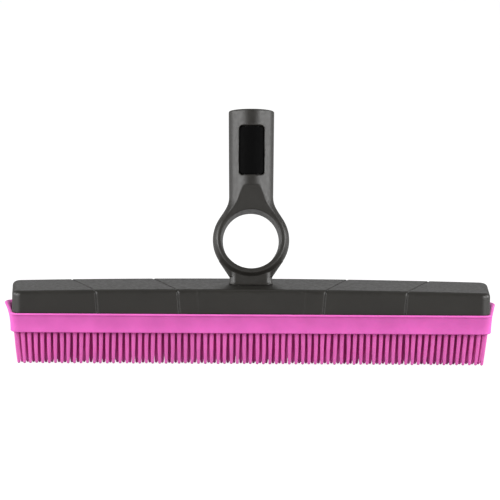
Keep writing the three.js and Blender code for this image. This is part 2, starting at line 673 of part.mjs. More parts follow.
function springSolid() {
  const end = -POCKET_RADIUS - SPRING_LIFT;
  const low = PIVOT_HEIGHT + EAR_LENGTH;
  const high = low + SPRING_LENGTH;
  const middle = (low + high) / 2;
  const crest = end - 2 * SPRING_ARCH;
  const shape = new THREE.Shape();
  shape.moveTo(end, low);
  shape.quadraticCurveTo(crest, middle, end, high);
  shape.lineTo(end - SPRING_THICKNESS, high);
  shape.quadraticCurveTo(crest - SPRING_THICKNESS, middle, end - SPRING_THICKNESS, low);
  return toSolid(sideways(shape, SPRING_WIDTH));
}

// ---- Screws ------------------------------------------------------------------------------

// A pan-head screw pointing up, with the underside of its head at Z = 0.
function screwSolid(length) {
  const body = turned(
    [
      [0, -SCREW_HEAD_HEIGHT],
      [SCREW_HEAD - SCREW_HEAD_CHAMFER, -SCREW_HEAD_HEIGHT],
      [SCREW_HEAD, -SCREW_HEAD_HEIGHT + SCREW_HEAD_CHAMFER],
      [SCREW_HEAD, 0],
      [SCREW_SHANK, 0],
      [SCREW_SHANK, length - SCREW_SHANK],
      [0, length],
    ],
    ROD_SIDES,
  );
  const half = SCREW_SLOT / 2;
  const low = -SCREW_HEAD_HEIGHT - PAST;
  const high = -SCREW_HEAD_HEIGHT + SCREW_SLOT_DEPTH;
  return cut(
    body,
    block([-SCREW_SLOT_REACH, -half, low], [SCREW_SLOT_REACH, half, high]),
    block([-half, -SCREW_SLOT_REACH, low], [half, SCREW_SLOT_REACH, high]),
  );
}

function plateScrewSeat() {
  return CORE_BOTTOM + SCREW_HEAD_HEIGHT + GAP;
}

// ---- Materials ---------------------------------------------------------------------------

const material = (color, roughness, metalness = 0) =>
  new THREE.MeshStandardMaterial({ color, roughness, metalness });

const COVER_PLASTIC = material(0x4a4946, 0.55);
const NECK_PLASTIC = material(0x66635f, 0.5);
const BUTTON_PLASTIC = material(0x121212, 0.6);
const CORE_PLASTIC = material(0x2c2c2e, 0.65);
const PINK_RUBBER = material(0xdd67bb, 0.65);
const STEEL = material(0xb5b7ba, 0.35, 1);

// ---- Assembly ----------------------------------------------------------------------------

function piece(name, solid, finish) {
  const mesh = new THREE.Mesh(toGeometry(solid), finish);
  mesh.name = name;
  return mesh;
}

function neckGroup() {
  const group = new THREE.Group();
  group.add(
    piece("neck", neckSolid(), NECK_PLASTIC),
    piece("release_button", buttonSolid(), BUTTON_PLASTIC),
    piece("button_spring", springSolid(), STEEL),
  );
  group.rotation.x = -NECK_LEAN;
  group.position.z = COVER_TOP;
  return group;
}

function plateScrews() {
  const length = CORE_TOP - plateScrewSeat() + PLATE_SCREW_BITE;
  return PLATE_SCREW_PLACES.map(({ x, y }, i) => {
    const screw = piece(`plate_screw_${i + 1}`, screwSolid(length), STEEL);
    screw.position.set(x, y, plateScrewSeat());
    return screw;
  });
}

function neckScrews() {
  const seat = COVER_ROOF - NECK_PAD.height - GAP;
  return ["left", "right"].map((label, i) => {
    const screw = piece(`neck_screw_${label}`, screwSolid(COVER_TOP - seat + NECK_SCREW_BITE), STEEL);
    screw.position.set((i - 0.5) * NECK_SCREW_SPACING, 0, seat);
    return screw;
  });
}

const assembly = new THREE.Group();
assembly.add(
  piece("rubber_brush", rubberBrush(), PINK_RUBBER),
  piece("core_plate", corePlate(), CORE_PLASTIC),
  piece("head_cover", headCover(), COVER_PLASTIC),
  neckGroup(),
  ...plateScrews(),
  ...neckScrews(),
);

// Put the origin under the middle of the whole object.
const box = new THREE.Box3().setFromObject(assembly, true);
assembly.position.set(-(box.min.x + box.max.x) / 2, -(box.min.y + box.max.y) / 2, -box.min.z);

export default assembly;
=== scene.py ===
"""The looks of the rubber broom head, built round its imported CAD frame.

Shapes are worked out in millimetres and placed in the frame's metres. The rounded mouldings (cover, neck and
button) are distance fields turned into meshes; the sleeve is a loft and its bristles are tapered fingers.
"""

import json
import math

import bpy
import numpy as np
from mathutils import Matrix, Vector

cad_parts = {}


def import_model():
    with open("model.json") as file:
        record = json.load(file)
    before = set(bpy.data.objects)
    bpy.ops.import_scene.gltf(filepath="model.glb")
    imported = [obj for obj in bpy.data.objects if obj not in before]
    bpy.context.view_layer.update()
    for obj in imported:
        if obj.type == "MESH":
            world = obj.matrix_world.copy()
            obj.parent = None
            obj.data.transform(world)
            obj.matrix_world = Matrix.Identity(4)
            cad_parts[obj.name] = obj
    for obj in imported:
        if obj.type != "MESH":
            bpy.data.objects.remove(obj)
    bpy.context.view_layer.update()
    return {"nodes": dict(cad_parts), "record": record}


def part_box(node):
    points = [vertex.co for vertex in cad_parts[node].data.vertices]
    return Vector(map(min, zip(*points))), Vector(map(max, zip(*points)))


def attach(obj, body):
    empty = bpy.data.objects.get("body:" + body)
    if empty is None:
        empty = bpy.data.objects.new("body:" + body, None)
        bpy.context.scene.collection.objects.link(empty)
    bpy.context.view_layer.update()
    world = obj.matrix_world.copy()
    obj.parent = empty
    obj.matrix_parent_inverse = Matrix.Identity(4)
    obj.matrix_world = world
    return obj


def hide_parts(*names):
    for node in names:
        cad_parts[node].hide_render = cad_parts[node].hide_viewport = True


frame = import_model()
RECORD = frame["record"]
MM = 0.001

# ---- Sizes, in millimetres ---------------------------------------------------------------

LEAN = math.radians(16)
BORE_STOP = 56.8  # height of the socket's stop up the neck
BRISTLE_LENGTH = 21.4

# Cover
COVER_HEIGHT = 15.6
COVER_CROWN = 1.9
COVER_CORNER = 6.2
COVER_EDGE = 3.0
COVER_WALL = 2.4
COVER_GROOVES = ((119.0, 102.5), (65.0, 48.5))  # distance from the middle at the back and in front
GROOVE_WIDTH = 1.5
GROOVE_SLOPE = 0.9
GROOVE_TILT = 0.085  # sideways run of the grooves for each millimetre up the front
GROOVE_BLEND = 0.2
FINE_GROOVE = 36.0  # distance from the middle of the faint line on the front
FINE_GROOVE_HALF = 0.35
FINE_GROOVE_SLOPE = 1.5
FINE_GROOVE_STEEPNESS = 1.8  # the slope of its field, about 1 to FINE_GROOVE_SLOPE
FINE_GROOVE_BLEND = 0.15
COVER_INNER_ROUND = 1.0
COVER_RIM_BLEND = 0.3
COVER_FOOT_BLEND = 0.4

# Neck, in its own frame: x across, y back, z up the neck from the cover's top
RING_CENTRE = 29.0
RING_OUTER = 25.3
RING_CURVE = 14.7
RING_HALF = 8.8
RING_HOLE = 19.0
RING_DRAFT = 0.6
SOCKET_TOP = 114.8
SOCKET_LOW = 14.6
SOCKET_HIGH = 15.1
BORE = 10.2
FACET_START = 46.0
FACET_END = 64.2
FACET_OFFSET = 13.8
ROOT = (28.0, 10.6, 4.5)
ROOT_TOP = 4.5
NECK_BOTTOM = -4.0  # below its slanted foot
ROOT_WEB = 4.4
ROOT_RISE = 14.0  # of the root block, hidden in the ring
ROOT_FLARE = 0.9  # of the root where it meets the cover
ROOT_FLARE_HEIGHT = 1.8
SOCKET_ROUND = 1.0
SOCKET_BLEND = 7.0  # between the ring and the socket
FACET_FIT = 0.95  # keeps the facets' field no steeper than a distance
FACET_ROUND = 0.5
ROOT_BLEND = 0.8
HOLE_ROUND = 0.7
BORE_ROUND = 0.8
WINDOW_ROUND = 0.5
SLOT_ROUND = 0.3
FOOT_ROUND = 0.5
WINDOW = (16.8, 33.0, 2.6)
WINDOW_MIDDLE = 87.5
POCKET_RADIUS = 11.2
BUTTON_OUTER = 14.1
BUTTON_INNER = 12.9
NUB_LOW = 72.6
NUB_LENGTH = 4.4
NUB_HALF_WIDTH = 3.0
NUB_CLEARANCE = 0.5
NUB_DEPTH = (-11.2, 2.3)  # middle and half of its reach from front to back
NUB_RAMP = 11.5  # how far in front of the axis the ramp at its upper end starts
NUB_RAMP_FIT = 0.7
STOP_RISE = 6.2  # of the stop above the nub's lower end
STOP_HALF_LENGTH = 1.0
STOP_DEPTH = (-12.3, 0.8)
EAR = (7.65, 0.4)  # middle and half of its width
EAR_HALF_LENGTH = 1.2
EAR_DEPTH = (-10.6, 1.5)
TRUNNION_RADIUS = 0.8
TRUNNION = (8.4, 0.9)
BUTTON_SIDE_GAP = 0.35
BUTTON_END_GAP = 0.6
BUTTON_SKIN_ROUND = 0.3
BUTTON_EDGE_ROUND = 0.6
BUTTON_BACK_ROUND = 0.2
BUTTON_BLEND = 0.3
PIVOT = (10.1, 92.0)  # inset from the axis, height
GAP = 0.3

# Sleeve
BASE = {"length": 317.0, "front": -20.0, "back": 20.0}
SLEEVE_HEIGHT = 13.8
SLEEVE_CORNER = 6.5
SLEEVE_FLARE_POWER = 1.5
SLEEVE_LEAST_CORNER = 1.5
SLEEVE_BASE_INSET = 1.0
SLEEVE_BASE_ROUND = 0.9
FLOOR_INSET = 12.0  # of the ring that closes its floor
RIM_REACH = {"front": 2.4, "back": 6.5, "front_length": 3.4, "back_length": 10.9}  # past the cover
RIM_ROUND = 1.5
RIM_INSET = 1.9
RIM_FRONT_INSET = 0.5
RIM_INNER = {"inset": 2.4, "front_inset": 1.0, "drop": 0.15}
SEAT_LIP = {"gap": 0.35, "drop": 0.75}
SEAT_HEIGHT = 12.2  # of the cover's seat above the sleeve's base
CORE_CORNER = 5.0
POCKET_RINGS = (  # length, depth and height above the sleeve's base, down to the pocket's floor
    (302.4, 32.4, SEAT_HEIGHT),
    (302.4, 32.4, 10.7),
    (309.8, 38.8, 10.7),
    (309.8, 38.8, 8.1),
    (304.2, 33.2, 8.1),
    (304.2, 33.2, 2.4),
    (290.0, 20.0, 2.4),
)

# Grids of the distance fields
MARGIN = 1.2  # past the shape on each side
COVER_END_MARGIN = 1.3
OFF_GRID = (0.013, 0.011, 0.017, 0.007)  # keeps grid points off the planes of symmetry
GRID = 0.5
BUTTON_GRID = 0.3
BUTTON_SIDE = 10.2
BUTTON_REACH = (-15.0, -8.0)
WIDE_STEP = 1.2
GROOVE_STEP = 0.4
END_RUN = 8.0  # at each end of the cover, with the finer grid
BEFORE_GROOVE = 2.5
AFTER_GROOVE = 1.5
SETTLE_ROUNDS = 6
SETTLE_PROBE = 0.02
SETTLE_REACH = 0.3
LEAST_SLOPE = 0.2

# ---- Places from the frame ---------------------------------------------------------------


def mount(name):
    return next(m for m in RECORD["mounts"] if m["name"] == name)


STOP = np.array(mount("pole_stop")["pos_m"]) / MM
AXIS = np.array(mount("pole_stop")["axis"])
NECK_FOOT = STOP - BORE_STOP * AXIS
COVER_LOW, COVER_HIGH = (np.array(corner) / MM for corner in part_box("head_cover"))
HEAD_Y = (COVER_LOW[1] + COVER_HIGH[1]) / 2
COVER_SIZE = COVER_HIGH - COVER_LOW


def neck_to_row(points):
    """Points in the neck's own frame, placed in the row frame, in millimetres."""
    x, y, z = np.asarray(points, dtype=float).T
    cos, sin = math.cos(LEAN), math.sin(LEAN)
    return np.stack([x, y * cos + z * sin, -y * sin + z * cos], axis=1) + NECK_FOOT


# ---- Distance fields ---------------------------------------------------------------------


def smooth_min(a, b, k):
    h = np.maximum(k - np.abs(a - b), 0) / k
    return np.minimum(a, b) - h * h * k / 4


def smooth_max(a, b, k):
    return -smooth_min(-a, -b, k)


def rounded_box_2d(x, y, width, height, radius):
    qx = np.abs(x) - width / 2 + radius
    qy = np.abs(y) - height / 2 + radius
    outside = np.hypot(np.maximum(qx, 0), np.maximum(qy, 0))
    return outside + np.minimum(np.maximum(qx, qy), 0) - radius


def capped(d, top, edge):
    """A plan distance d, cut off at top (negative below it) with a rounded edge."""
    a = d + edge
    b = top + edge
    outside = np.hypot(np.maximum(a, 0), np.maximum(b, 0))
    return outside + np.minimum(np.maximum(a, b), 0) - edge


def even(low, high, step):
    return np.linspace(low, high, max(2, int(math.ceil((high - low) / step)) + 1))


def surface_net(field, axes):
    """Vertices and quads of the surface where field is 0, on a grid, drawn onto the surface itself."""
    value = field(*np.meshgrid(*axes, indexing="ij"))
    inside = value < 0
    counts = [len(axis) for axis in axes]
    cells = tuple(count - 1 for count in counts)
    total = np.zeros(cells, dtype=int)
    for dx in (0, 1):
        for dy in (0, 1):
            for dz in (0, 1):
                total += inside[dx:dx + cells[0], dy:dy + cells[1], dz:dz + cells[2]]
    mixed = (total > 0) & (total < 8)
    index = np.full(cells, -1)
    index[mixed] = np.arange(mixed.sum())
    where = np.argwhere(mixed)
    middles = [(axis[1:] + axis[:-1]) / 2 for axis in axes]
    points = np.stack([middles[i][where[:, i]] for i in range(3)], axis=1)
    quads = []
    for axis in range(3):
        a = np.take(inside, range(counts[axis] - 1), axis=axis)
        b = np.take(inside, range(1, counts[axis]), axis=axis)
        u, v = [i for i in range(3) if i != axis]
        edges = np.argwhere(a != b)
        edges = edges[(edges[:, u] > 0) & (edges[:, v] > 0)]
        edges = edges[(edges[:, u] < cells[u]) & (edges[:, v] < cells[v])]
        ring = []
        for du, dv in ((1, 1), (0, 1), (0, 0), (1, 0)):
            corner = edges.copy()
            corner[:, u] -= du
            corner[:, v] -= dv
            ring.append(index[tuple(corner.T)])
        ring = np.stack(ring, axis=1)
        leaving = a[tuple(edges.T)]
        flip = leaving if axis == 1 else ~leaving
        ring[flip] = ring[flip][:, ::-1]
        quads.append(ring)
    return settle(field, points), np.concatenate(quads)


def settle(field, points):
    """Moves each point onto the surface along the field's slope."""
    for _ in range(SETTLE_ROUNDS):
        here = field(*points.T)
        slope = np.empty_like(points)
        for i in range(3):
            ahead = points.copy()
            ahead[:, i] += SETTLE_PROBE
            behind = points.copy()
            behind[:, i] -= SETTLE_PROBE
            slope[:, i] = (field(*ahead.T) - field(*behind.T)) / (2 * SETTLE_PROBE)
        size = np.maximum((slope ** 2).sum(axis=1), LEAST_SLOPE)
        move = (-here / size)[:, None] * slope
        length = np.linalg.norm(move, axis=1)
        points = points + move * np.minimum(1, SETTLE_REACH / np.maximum(length, 1e-9))[:, None]
    return points


# ---- Objects -----------------------------------------------------------------------------


def make_mesh(name, points, faces, material, smooth=True):
    mesh = bpy.data.meshes.new(name)
    mesh.from_pydata([tuple(p) for p in np.asarray(points) * MM], [], [list(map(int, f)) for f in faces])
    mesh.validate()
    mesh.update()
    mesh.polygons.foreach_set("use_smooth", [smooth] * len(mesh.polygons))
    mesh.materials.append(material)
    made = bpy.data.objects.new(name, mesh)
    bpy.context.scene.collection.objects.link(made)
    return made


def stands_for(piece, body, slot, *nodes):
    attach(piece, body)
    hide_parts(*nodes)


# ---- Materials ---------------------------------------------------------------------------


class Nodes:
    """A material being wired up."""

    def __init__(self, name):
        self.material = bpy.data.materials.new(name)
        self.material.use_nodes = True
        self.tree = self.material.node_tree
        self.shader = self.tree.nodes["Principled BSDF"]
        self.place = self.add("ShaderNodeTexCoord").outputs["Object"]

    def add(self, kind, **inputs):
        node = self.tree.nodes.new(kind)
        for key, value in inputs.items():
            node.inputs[key.replace("_", " ")].default_value = value
        return node

    def link(self, source, target):
        self.tree.links.new(source, target)

    def noise(self, scale, detail=3.0, roughness=0.5):
        node = self.add("ShaderNodeTexNoise", Scale=scale, Detail=detail, Roughness=roughness)
        self.link(self.place, node.inputs["Vector"])
        return node.outputs["Fac"]

    def ramp(self, source, low, high, start=0.35, end=0.65):
        node = self.add("ShaderNodeMapRange")
        node.inputs["From Min"].default_value = start
        node.inputs["From Max"].default_value = end
        node.inputs["To Min"].default_value = low
        node.inputs["To Max"].default_value = high
        self.link(source, node.inputs["Value"])
        return node.outputs["Result"]

    def tint(self, source, dark, light):
        node = self.tree.nodes.new("ShaderNodeMix")
        node.data_type = "RGBA"
        node.inputs["A"].default_value = (*dark, 1)
        node.inputs["B"].default_value = (*light, 1)
        self.link(source, node.inputs["Factor"])
        return node.outputs["Result"]

    def bump(self, source, distance, strength=1.0, under=None):
        node = self.add("ShaderNodeBump", Strength=strength, Distance=distance)
        self.link(source, node.inputs["Height"])
        if under is not None:
            self.link(under, node.inputs["Normal"])
        return node.outputs["Normal"]

    def edge_highlight_mask(self):
        """1 on convex edges, 0 on flats, from the surface's pointiness; it masks a painted highlight on
        edges.
        """
        geometry = self.add("ShaderNodeNewGeometry")
        return self.ramp(geometry.outputs["Pointiness"], 0.0, 1.0, 0.52, 0.62)


def scaled(colour, factor):
    return tuple(min(1.0, c * factor) for c in colour)


def moulded(name, colour, roughness, grain=0.00004, spread=0.10, specular=0.5):
    """Injection-moulded plastic: fine spark-eroded grain, faint flow marks, and convex edges painted lighter
    as a painted highlight.
    """
    wired = Nodes(name)
    flow = wired.noise(35.0, 4.0)
    grain_height = wired.noise(2600.0, 2.0, 0.6)
    painted_edge_highlight = wired.edge_highlight_mask()
    base = wired.tint(wired.ramp(flow, 0, 1), scaled(colour, 1 - spread), scaled(colour, 1 + spread))
    # Convex edges are mixed towards a lighter copy of the colour: a painted highlight where edges catch the
    # light.
    mixed = wired.tree.nodes.new("ShaderNodeMix")
    mixed.data_type = "RGBA"
    wired.link(painted_edge_highlight, mixed.inputs["Factor"])
    wired.link(base, mixed.inputs["A"])
    mixed.inputs["B"].default_value = (*scaled(colour, 1.5), 1)
    wired.link(mixed.outputs["Result"], wired.shader.inputs["Base Color"])
    wired.link(wired.ramp(wired.noise(420.0, 5.0), roughness - 0.05, roughness + 0.06),
               wired.shader.inputs["Roughness"])
    ripple = wired.bump(flow, 0.0002, 0.25)
    wired.link(wired.bump(grain_height, grain, 0.7, ripple), wired.shader.inputs["Normal"])
    wired.shader.inputs["Specular IOR Level"].default_value = specular
    return wired.material


def rubber(name, colour, roughness):
    """Soft pink thermoplastic rubber: cloudy colour, fine matt skin, a little light through it."""
    wired = Nodes(name)
    cloud = wired.noise(60.0, 4.0)
    wired.link(wired.tint(wired.ramp(cloud, 0, 1), scaled(colour, 0.94), scaled(colour, 1.05)),
               wired.shader.inputs["Base Color"])
    wired.link(wired.ramp(wired.noise(500.0, 4.0), roughness - 0.06, roughness + 0.08),
               wired.shader.inputs["Roughness"])
    wired.link(wired.bump(wired.noise(1500.0, 3.0), 0.00003, 0.6), wired.shader.inputs["Normal"])
    wired.shader.inputs["Subsurface Weight"].default_value = 0.12
    wired.shader.inputs["Subsurface Radius"].default_value = (0.0022, 0.0008, 0.0014)
    wired.shader.inputs["Specular IOR Level"].default_value = 0.1
    return wired.material


def steel(name, roughness):
    """Zinc-plated steel with fine drawn scratches."""
    wired = Nodes(name)
    stretched = wired.add("ShaderNodeMapping")
    stretched.inputs["Scale"].default_value = (4000.0, 4000.0, 300.0)
    wired.link(wired.place, stretched.inputs["Vector"])
    scratch = wired.add("ShaderNodeTexNoise", Scale=1.0, Detail=4.0)
    wired.link(stretched.outputs["Vector"], scratch.inputs["Vector"])
    wired.link(wired.tint(scratch.outputs["Fac"], (0.48, 0.48, 0.47), (0.66, 0.66, 0.67)),
               wired.shader.inputs["Base Color"])
    wired.link(wired.ramp(scratch.outputs["Fac"], roughness, roughness + 0.15),
               wired.shader.inputs["Roughness"])
    wired.link(wired.bump(scratch.outputs["Fac"], 0.00002, 0.5), wired.shader.inputs["Normal"])
    wired.shader.inputs["Metallic"].default_value = 1.0
    return wired.material


COVER_PLASTIC = moulded("cover_plastic", (0.0185, 0.0172, 0.0145), 0.42)
NECK_PLASTIC = moulded("neck_plastic", (0.0205, 0.019, 0.0165), 0.42)
BUTTON_PLASTIC = moulded("button_plastic", (0.0022, 0.0022, 0.0022), 0.7, specular=0.04)
CORE_PLASTIC = moulded("core_plastic", (0.02, 0.02, 0.022), 0.5)
PINK_RUBBER = rubber("pink_rubber", (0.87, 0.165, 0.59), 0.5)
# The bristles use the sleeve's own rubber painted darker: painted shade standing in for the shade between
# the rows of bristles.
BRISTLE_RUBBER_PAINTED_SHADE = rubber("bristle_rubber_painted_shade", (0.70, 0.142, 0.455), 0.5)
STEEL = steel("screw_steel", 0.28)

# ---- Head cover --------------------------------------------------------------------------


def cover_shell(x, y, z, inset, edge):
    """Distance to the crowned form, set in by inset all round; z counts from the cover's bottom."""
    length, depth = COVER_SIZE[0] - 2 * inset, COVER_SIZE[1] - 2 * inset
    corner = max(COVER_CORNER - inset, COVER_INNER_ROUND)
    crown = COVER_CROWN * (1 - (2 * x / COVER_SIZE[0]) ** 2)
    top = z - (COVER_HEIGHT + crown - inset)
    return capped(rounded_box_2d(x, y, length, depth, corner), top, edge)


def cover_field(x, y, z):
    outer = cover_shell(x, y, z, 0.0, COVER_EDGE)
    body = outer
    for back, front in COVER_GROOVES:
        run = (back - front) / COVER_SIZE[1]
        line = (back + front) / 2 + run * y + GROOVE_TILT * (z - COVER_HEIGHT)
        across = np.abs(np.abs(x) - line) / math.hypot(1, run)
        groove = (across - GROOVE_WIDTH / 2 - GROOVE_SLOPE * outer) / math.hypot(1, GROOVE_SLOPE)
        body = smooth_max(body, -groove, GROOVE_BLEND)
    fine = np.abs(np.abs(x) - FINE_GROOVE - GROOVE_TILT * (z - COVER_HEIGHT))
    fine = (fine - FINE_GROOVE_HALF - FINE_GROOVE_SLOPE * outer) / FINE_GROOVE_STEEPNESS
    on_front = y + COVER_SIZE[1] / 2 - COVER_EDGE
    body = smooth_max(body, -np.maximum(fine, on_front), FINE_GROOVE_BLEND)
    hollow = cover_shell(x, y, z, COVER_WALL, COVER_INNER_ROUND)
    body = smooth_max(body, -hollow, COVER_RIM_BLEND)
    return smooth_max(body, -z, COVER_FOOT_BLEND)


def cover_stations():
    """Places along the head: close together at the ends and the grooves, wider apart between them."""
    end = COVER_SIZE[0] / 2
    (outer_back, outer_front), (inner_back, inner_front) = COVER_GROOVES
    last = end + COVER_END_MARGIN
    marks = [
        (0.0, WIDE_STEP),
        (FINE_GROOVE - 2 * MARGIN, GROOVE_STEP),
        (FINE_GROOVE + MARGIN, WIDE_STEP),
        (inner_front - BEFORE_GROOVE, GROOVE_STEP),
        (inner_back + AFTER_GROOVE, WIDE_STEP),
        (outer_front - BEFORE_GROOVE, GROOVE_STEP),
        (outer_back + AFTER_GROOVE, WIDE_STEP),
        (end - END_RUN, GRID),
    ]
    stops = [start for start, _ in marks[1:]] + [last]
    half = np.concatenate([even(start, stop, step)[:-1] for (start, step), stop in zip(marks, stops)])
    half = np.append(half, last)
    return np.concatenate([-half[:0:-1], half]) + OFF_GRID[0]


def head_cover():
    half = COVER_SIZE[1] / 2 + MARGIN
    top = COVER_HEIGHT + COVER_CROWN + MARGIN
    axes = [cover_stations(), even(-half, half, GRID), even(-MARGIN, top, GRID)]
    points, quads = surface_net(cover_field, axes)
    points = points + (0, HEAD_Y, COVER_HIGH[2] - COVER_HEIGHT - COVER_CROWN)
    piece = make_mesh("head_cover_moulding", points, quads, COVER_PLASTIC)
    stands_for(piece, "head", "cover_plastic", "head_cover")


# ---- Neck --------------------------------------------------------------------------------


def window_distance(x, z, shrink_side=0.0, shrink_end=0.0):
    width, height, corner = WINDOW
    return rounded_box_2d(x, z - WINDOW_MIDDLE, width - 2 * shrink_side, height - 2 * shrink_end, corner)


def root_web(x, y, z):
    """The straight-sided gusset that leaves the ring smoothly and lands on the root's corners."""
    drop = RING_CENTRE - ROOT_TOP
    turn = math.atan2(ROOT[0] / 2, drop) + math.acos(RING_OUTER / math.hypot(ROOT[0] / 2, drop))
    side = np.abs(x) * math.sin(turn) - (z - RING_CENTRE) * math.cos(turn) - RING_OUTER
    top = z - RING_CENTRE + RING_OUTER * math.cos(turn)
    return np.maximum(np.maximum(side, top), np.maximum(ROOT_TOP - z, np.abs(y) - ROOT_WEB))


def neck_field(x, y, z):
    radius = np.hypot(x, z - RING_CENTRE)
    round_axis = np.hypot(x, y)
    ring = np.hypot(radius - (RING_OUTER - RING_CURVE), y) - RING_CURVE
    share = np.clip((z - RING_CENTRE - RING_OUTER) / (SOCKET_TOP - RING_CENTRE - RING_OUTER), 0, 1)
    wall = SOCKET_LOW + (SOCKET_HIGH - SOCKET_LOW) * share
    socket = capped(round_axis - wall, z - SOCKET_TOP, SOCKET_ROUND)
    socket = smooth_max(socket, RING_CENTRE - z, SOCKET_ROUND)
    body = smooth_min(ring, socket, SOCKET_BLEND)
    rise = np.clip((z - FACET_START) / (FACET_END - FACET_START), 0, 1)
    flat = RING_HALF + (FACET_OFFSET - RING_HALF) * rise + np.maximum(z - FACET_END, 0)
    body = smooth_max(body, (np.abs(y) - flat) * FACET_FIT, FACET_ROUND)
    root = np.maximum(rounded_box_2d(x, y, *ROOT), z - ROOT_RISE)
    foot = (z - y * math.tan(LEAN)) * math.cos(LEAN)
    root = root - ROOT_FLARE * np.clip(1 - foot / ROOT_FLARE_HEIGHT, 0, 1) ** 2
    body = smooth_min(body, smooth_min(root, root_web(x, y, z), ROOT_BLEND), ROOT_BLEND)
    hole = RING_HOLE - RING_DRAFT * y / RING_HALF - radius
    body = smooth_max(body, hole, HOLE_ROUND)
    bore = np.maximum(round_axis - BORE, BORE_STOP - z)
    body = smooth_max(body, -bore, BORE_ROUND)
    pocket = np.maximum(window_distance(x, z), np.maximum(POCKET_RADIUS - round_axis, y + PIVOT[0] / 2))
    body = smooth_max(body, -pocket, WINDOW_ROUND)
    slot = np.abs(z - NUB_LOW - NUB_LENGTH / 2) - NUB_LENGTH / 2 - NUB_CLEARANCE
    slot = np.maximum(np.maximum(np.abs(x) - NUB_HALF_WIDTH - NUB_CLEARANCE, slot), y + BORE / 2)
    body = smooth_max(body, -slot, SLOT_ROUND)
    return smooth_max(body, GAP - foot, FOOT_ROUND)


def neck():
    side = RING_OUTER + MARGIN
    depth = SOCKET_HIGH + MARGIN
    axes = [
        even(-side, side, GRID) + OFF_GRID[1],
        even(-depth, depth, GRID) + OFF_GRID[2],
        even(NECK_BOTTOM, SOCKET_TOP + MARGIN, GRID),
    ]
    points, quads = surface_net(neck_field, axes)
    piece = make_mesh("neck_moulding", neck_to_row(points), quads, NECK_PLASTIC)
    stands_for(piece, "head", "neck_plastic", "neck")


# ---- Release button ----------------------------------------------------------------------


def slab_distance(v, middle, half):
    return np.abs(v - middle) - half


def button_field(x, y, z):
    round_axis = np.hypot(x, y)
    skin = smooth_max(round_axis - BUTTON_OUTER, BUTTON_INNER - round_axis, BUTTON_SKIN_ROUND)
    face = window_distance(x, z, BUTTON_SIDE_GAP, BUTTON_END_GAP)
    body = smooth_max(smooth_max(face, skin, BUTTON_EDGE_ROUND), y, BUTTON_BACK_ROUND)
    across = np.abs(x) - NUB_HALF_WIDTH
    nub = slab_distance(z, NUB_LOW + NUB_LENGTH / 2, NUB_LENGTH / 2)
    nub = np.maximum(np.maximum(across, nub), slab_distance(y, *NUB_DEPTH))
    nub = np.maximum(nub, (z - NUB_LOW - NUB_LENGTH + y + NUB_RAMP) * NUB_RAMP_FIT)
    stop = np.maximum(slab_distance(z, NUB_LOW + STOP_RISE, STOP_HALF_LENGTH), slab_distance(y, *STOP_DEPTH))
    stop = np.maximum(across, stop)
    ear = np.maximum(slab_distance(z, PIVOT[1], EAR_HALF_LENGTH), slab_distance(y, *EAR_DEPTH))
    ear = np.maximum(slab_distance(np.abs(x), *EAR), ear)
    pin = np.hypot(y + PIVOT[0], z - PIVOT[1]) - TRUNNION_RADIUS
    pin = np.maximum(pin, slab_distance(np.abs(x), *TRUNNION))
    for part in (nub, stop, ear, pin):
        body = smooth_min(body, part, BUTTON_BLEND)
    return body


def release_button():
    low = WINDOW_MIDDLE - WINDOW[1] / 2
    high = WINDOW_MIDDLE + WINDOW[1] / 2
    axes = [
        even(-BUTTON_SIDE, BUTTON_SIDE, BUTTON_GRID) + OFF_GRID[3],
        even(*BUTTON_REACH, BUTTON_GRID),
        even(low, high, BUTTON_GRID),
    ]
    points, quads = surface_net(button_field, axes)
    piece = make_mesh("button_moulding", neck_to_row(points), quads, BUTTON_PLASTIC)
    stands_for(piece, "button", "button_plastic", "release_button")


# ---- Rubber sleeve -----------------------------------------------------------------------

CORNER_STEPS = 10
SIDE_STEPS = 60
END_STEPS = 8
BASE_STEPS = 4
WALL_STEPS = 12
RIM_STEPS = 6


def outline(length_front, length_back, front, back, corner):
    """Points round a rounded trapezoid, anticlockwise from the front left, the same number every time."""
    corners = (
        (-length_front / 2, front, math.pi),
        (length_front / 2, front, 1.5 * math.pi),
        (length_back / 2, back, 0.0),
        (-length_back / 2, back, 0.5 * math.pi),
    )
    middle = (front + back) / 2
    points = []
    for i, (x, y, start) in enumerate(corners):
        centre = np.array((x - math.copysign(corner, x), y - math.copysign(corner, y - middle)))
        for j in range(CORNER_STEPS + 1):
            angle = start + j / CORNER_STEPS * math.pi / 2
            points.append(centre + corner * np.array((math.cos(angle), math.sin(angle))))
        nx, ny, _ = corners[(i + 1) % 4]
        next_centre = np.array((nx - math.copysign(corner, nx), ny - math.copysign(corner, ny - middle)))
        next_angle = start + math.pi / 2
        reach = next_centre + corner * np.array((math.cos(next_angle), math.sin(next_angle)))
        steps = SIDE_STEPS if i % 2 == 0 else END_STEPS
        last = points[-1]
        points += [last + (reach - last) * k / steps for k in range(1, steps)]
    return np.array(points)


RIM = {
    "front": -COVER_SIZE[1] / 2 - RIM_REACH["front"],
    "back": COVER_SIZE[1] / 2 + RIM_REACH["back"],
    "front_length": COVER_SIZE[0] + RIM_REACH["front_length"],
    "back_length": COVER_SIZE[0] + RIM_REACH["back_length"],
}


def flared_ring(flare, height, inset=0.0, front_inset=None):
    """The sleeve's outline part of the way from its base (flare 0) to its rim (1), set in by inset."""
    front_inset = inset if front_inset is None else front_inset

    def mix(a, b):
        return a + (b - a) * flare

    plan = outline(
        mix(BASE["length"], RIM["front_length"]) - 2 * inset,
        mix(BASE["length"], RIM["back_length"]) - 2 * inset,
        mix(BASE["front"], RIM["front"]) + front_inset,
        mix(BASE["back"], RIM["back"]) - inset,
        max(SLEEVE_CORNER - inset, SLEEVE_LEAST_CORNER),
    )
    return np.column_stack([plan, np.full(len(plan), height)])


